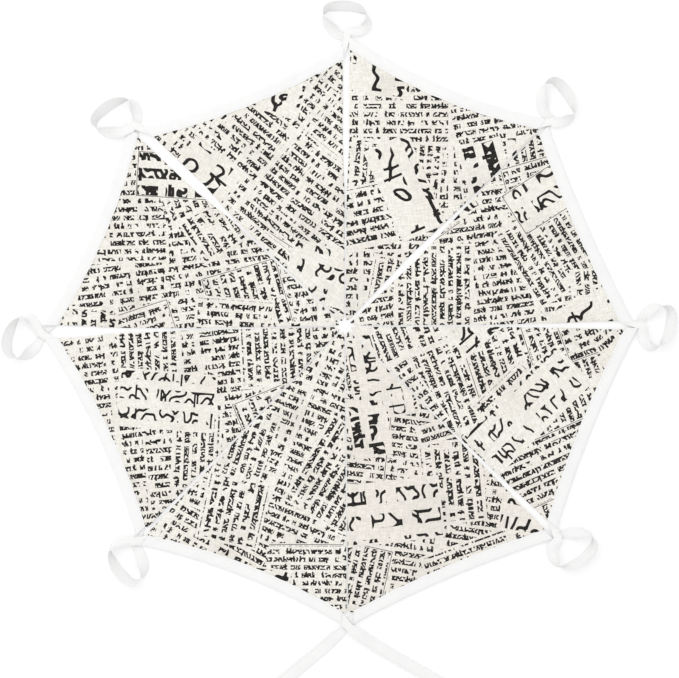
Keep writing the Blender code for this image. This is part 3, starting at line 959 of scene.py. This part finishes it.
def makeRibbon(name, frames):
    section = ribbonSettings["section"]
    count = len(section)
    points = []
    pairs = []
    length = 0.0
    for at, (place, across, out) in enumerate(frames):
        if at:
            length += (place - frames[at - 1][0]).length
        for side, high in section:
            points.append(place + across * side + out * high)
            pairs.append((length, side * across.length * (1 if high >= 0 else -1)))
    faces = [tuple(range(count)), tuple(range((len(frames) - 1) * count, len(frames) * count))]
    for near in range(0, (len(frames) - 1) * count, count):
        far = near + count
        for side in range(count):
            there = (side + 1) % count
            faces.append((near + side, near + there, far + there, far + side))
    ribbon = meshPiece(name, points, faces)
    setUv(ribbon, "tapeUv", pairs)
    deselectAll()
    ribbon.select_set(True)
    bpy.context.view_layer.objects.active = ribbon
    bpy.ops.object.mode_set(mode="EDIT")
    bpy.ops.mesh.select_all(action="SELECT")
    bpy.ops.mesh.normals_make_consistent(inside=False)
    bpy.ops.object.mode_set(mode="OBJECT")
    ribbon.data.materials.append(tapeFinish)
    smoothShade(ribbon, 50)
    return ribbon, length


def ribbonStitches(name, frames):
    spots = []
    run = 0.0
    wanted = ribbonSettings["firstStitch"]
    for (here, across, out), (there, _, _) in zip(frames, frames[1:]):
        step = (there - here).length
        while run + step >= wanted:
            spot = here.lerp(there, (wanted - run) / step) + across * ribbonSettings["stitchShare"]
            along = (there - here).normalized()
            for side in (1, -1):
                sunk = out * side * ribbonSettings["stitchSink"]
                spots.append((spot + sunk, along, out.normalized() * side))
            wanted += bindingSettings["stitchPitch"]
        run += step
    return stitchRow(name, spots)


def makeLoop(number):
    point = cornerPlace(number)
    outward = point.normalized()
    under = number == loopSettings["backUnderLoop"]
    lies = loopSettings["backUnder" if under else "backOver"]
    route = [(*place, *how) for place, how in zip(loopSettings["places"][number - 1], lies)]
    drop = -layout["startDrop"] if under else layout["startDrop"]
    first, firstEdge = leaveTape(number, 1, -drop)
    last, lastEdge = leaveTape(number + 1, -1, drop)
    points = [first] + routePoints(point, outward, route) + [last]
    line = raised(smoothLine(points, ribbonSettings["steps"]))
    frames = ribbonFrames(line, firstEdge, lastEdge)
    loop, length = makeRibbon("loop_ribbon_%d" % number, frames)
    stitches = ribbonStitches("loop_stitches_%d" % number, frames)
    for piece in (loop, stitches):
        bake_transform(piece)
    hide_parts("tape_loop_%d" % number)


def makeTie(name, number, side, drop, turn):
    point = cornerPlace(8)
    outward = point.normalized()
    first, firstEdge = leaveTape(number, side, drop)
    points = [first] + routePoints(point, outward, tieSettings[name])
    line = raised(smoothLine(points, ribbonSettings["steps"]))
    heading = line[-1][0] - line[-2][0]
    heading.z = 0
    heading.normalize()
    aside = up.cross(heading) * turn
    start = line[-1][0] + heading * layout["endGap"]
    middle = start + heading * tieSettings["rollLead"] + aside * tieSettings["rollRadius"]
    line.append((start + heading * tieSettings["rollLead"] / 2, math.pi / 2, layout["tapeWidth"]))
    for step in range(round(tieSettings["rollTurns"] * tieSettings["rollPoints"]) + 1):
        angle = 2 * math.pi * step / tieSettings["rollPoints"]
        radius = tieSettings["rollRadius"] - tieSettings["rollPitch"] * step / tieSettings["rollPoints"]
        spot = middle + (heading * math.sin(angle) - aside * math.cos(angle)) * radius
        line.append((spot, math.pi / 2, layout["tapeWidth"]))
    frames = ribbonFrames(line, firstEdge)
    tie, length = makeRibbon("tie_ribbon_" + name, frames)
    stitches = ribbonStitches("tie_stitches_" + name, frames)
    for piece in (tie, stitches):
        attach(piece, "tape_%d" % number)
    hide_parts("tape_tail_" + name, "tape_roll_" + name)
    print("tie", name, round(length, 3), "m")


for number in range(1, 8):
    makeLoop(number)
makeTie("start", 1, -1, -layout["startDrop"], 1)
makeTie("end", 8, 1, layout["startDrop"], -1)
print("free tape made")

# floor, light, camera
floorSettings = {
    "size": 6.0,
    "height": -0.0002,
    "colour": (0.88, 0.88, 0.88, 1),
    "seenColour": (0.55, 0.55, 0.55, 1),   # colour and glow of the floor where it is looked at
    "glow": 0.48,
}


def makeFloor():
    deselectAll()
    bpy.ops.mesh.primitive_plane_add(size=floorSettings["size"], location=(0, 0, floorSettings["height"]))
    floor = startPiece("floor")
    material, tree, shader = startMaterial("paleFloor", 0.9)
    shader.inputs["Specular IOR Level"].default_value = 0.0
    rays = tree.nodes.new("ShaderNodeLightPath")
    seen = mathNode(tree, "MAXIMUM", rays.outputs["Is Camera Ray"], rays.outputs["Is Glossy Ray"])
    seen = mathNode(tree, "MAXIMUM", seen, rays.outputs["Is Transmission Ray"])
    colour = mixColour(tree, seen, floorSettings["colour"], floorSettings["seenColour"])
    feed(tree, shader.inputs["Base Color"], colour)
    shader.inputs["Emission Color"].default_value = (1, 1, 1, 1)
    feed(tree, shader.inputs["Emission Strength"], times(tree, seen, floorSettings["glow"]))
    floor.data.materials.append(material)


lightSettings = {
    "world": 0.89,
    "seenWorld": 1.0,         # as the camera sees it
    "lampPower": 8.3,
    "lampSize": 1.6,
    "lampPlace": (-0.7, 0.9, 1.5),
}


def makeLight():
    world = bpy.data.worlds.new("studio")
    bpy.context.scene.world = world
    world.use_nodes = True
    tree = world.node_tree
    sky = tree.nodes["Background"]
    sky.inputs["Color"].default_value = (1, 1, 1, 1)
    rays = tree.nodes.new("ShaderNodeLightPath")
    seen = rays.outputs["Is Camera Ray"]
    strength = mixNumber(tree, seen, lightSettings["world"], lightSettings["seenWorld"])
    feed(tree, sky.inputs["Strength"], strength)
    bpy.ops.object.light_add(type="AREA", location=lightSettings["lampPlace"])
    lamp = bpy.context.object
    lamp.data.energy = lightSettings["lampPower"]
    lamp.data.size = lightSettings["lampSize"]
    lamp.rotation_euler = (-Vector(lightSettings["lampPlace"])).to_track_quat("-Z", "Y").to_euler()


cameraSettings = {"aim": (-0.0044, -0.0102), "height": 1.6, "frameWidth": 0.5432, "sensor": 36}


def makeCamera():
    bpy.ops.object.camera_add(location=(*cameraSettings["aim"], cameraSettings["height"]))
    camera = bpy.context.object
    camera.data.sensor_width = cameraSettings["sensor"]
    camera.data.lens = cameraSettings["sensor"] * cameraSettings["height"] / cameraSettings["frameWidth"]
    bpy.context.scene.camera = camera


makeFloor()
makeLight()
makeCamera()
bpy.context.scene.view_settings.view_transform = "Standard"
print("stage made")
